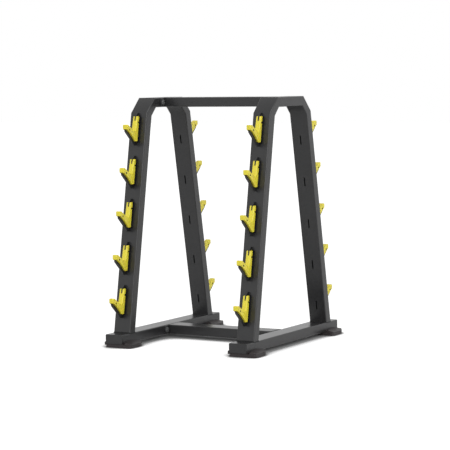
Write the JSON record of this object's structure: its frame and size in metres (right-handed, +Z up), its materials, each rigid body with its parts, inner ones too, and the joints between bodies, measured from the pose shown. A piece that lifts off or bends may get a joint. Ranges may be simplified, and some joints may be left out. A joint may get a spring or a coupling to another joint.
{
  "type": "barbell storage rack",
  "caption": "Free-standing double-sided rack of two leaning rectangular-tube side frames and two cross beams, with lined hooks on every leg that hold fixed barbells.",
  "frame": {"origin": "centre of the overall bounding box, on the floor", "axes": "+X across the rack from one side frame to the other and towards the feet's ears, +Y to the rear, +Z up. Front and rear carry the same hooks."},
  "size_m": [1.073, 1.2182, 1.525],
  "materials": {
    "frame_paint": "satin dark grey powder coat",
    "plate_paint": "satin dark grey powder coat",
    "hook_yellow": "moulded yellow, softly glossy",
    "foot_rubber": "moulded dark rubber, matte",
    "bolt_steel": "dark plated, domed head"
  },
  "bodies": {
    "root": {"left_rear_leg": "frame_paint", "left_rear_hook_plate_1": "plate_paint", "left_rear_hook_liner_1": "hook_yellow", "left_rear_hook_plate_2": "plate_paint", "left_rear_hook_liner_2": "hook_yellow", "left_rear_hook_plate_3": "plate_paint", "left_rear_hook_liner_3": "hook_yellow", "left_rear_hook_plate_4": "plate_paint", "left_rear_hook_liner_4": "hook_yellow", "left_rear_hook_plate_5": "plate_paint", "left_rear_hook_liner_5": "hook_yellow", "left_front_leg": "frame_paint", "left_front_hook_plate_1": "plate_paint", "left_front_hook_liner_1": "hook_yellow", "left_front_hook_plate_2": "plate_paint", "left_front_hook_liner_2": "hook_yellow", "left_front_hook_plate_3": "plate_paint", "left_front_hook_liner_3": "hook_yellow", "left_front_hook_plate_4": "plate_paint", "left_front_hook_liner_4": "hook_yellow", "left_front_hook_plate_5": "plate_paint", "left_front_hook_liner_5": "hook_yellow", "left_top_tube": "frame_paint", "left_base_beam": "frame_paint", "left_rear_foot": "foot_rubber", "left_front_foot": "foot_rubber", "right_rear_leg": "frame_paint", "right_rear_hook_plate_1": "plate_paint", "right_rear_hook_liner_1": "hook_yellow", "right_rear_hook_plate_2": "plate_paint", "right_rear_hook_liner_2": "hook_yellow", "right_rear_hook_plate_3": "plate_paint", "right_rear_hook_liner_3": "hook_yellow", "right_rear_hook_plate_4": "plate_paint", "right_rear_hook_liner_4": "hook_yellow", "right_rear_hook_plate_5": "plate_paint", "right_rear_hook_liner_5": "hook_yellow", "right_front_leg": "frame_paint", "right_front_hook_plate_1": "plate_paint", "right_front_hook_liner_1": "hook_yellow", "right_front_hook_plate_2": "plate_paint", "right_front_hook_liner_2": "hook_yellow", "right_front_hook_plate_3": "plate_paint", "right_front_hook_liner_3": "hook_yellow", "right_front_hook_plate_4": "plate_paint", "right_front_hook_liner_4": "hook_yellow", "right_front_hook_plate_5": "plate_paint", "right_front_hook_liner_5": "hook_yellow", "right_top_tube": "frame_paint", "right_base_beam": "frame_paint", "right_rear_foot": "foot_rubber", "right_front_foot": "foot_rubber", "top_cross_beam": "frame_paint", "top_left_flange_bolt": "bolt_steel", "top_right_flange_bolt": "bolt_steel", "floor_cross_beam": "frame_paint", "floor_left_flange_bolt": "bolt_steel", "floor_right_flange_bolt": "bolt_steel"}
  },
  "joints": []
}
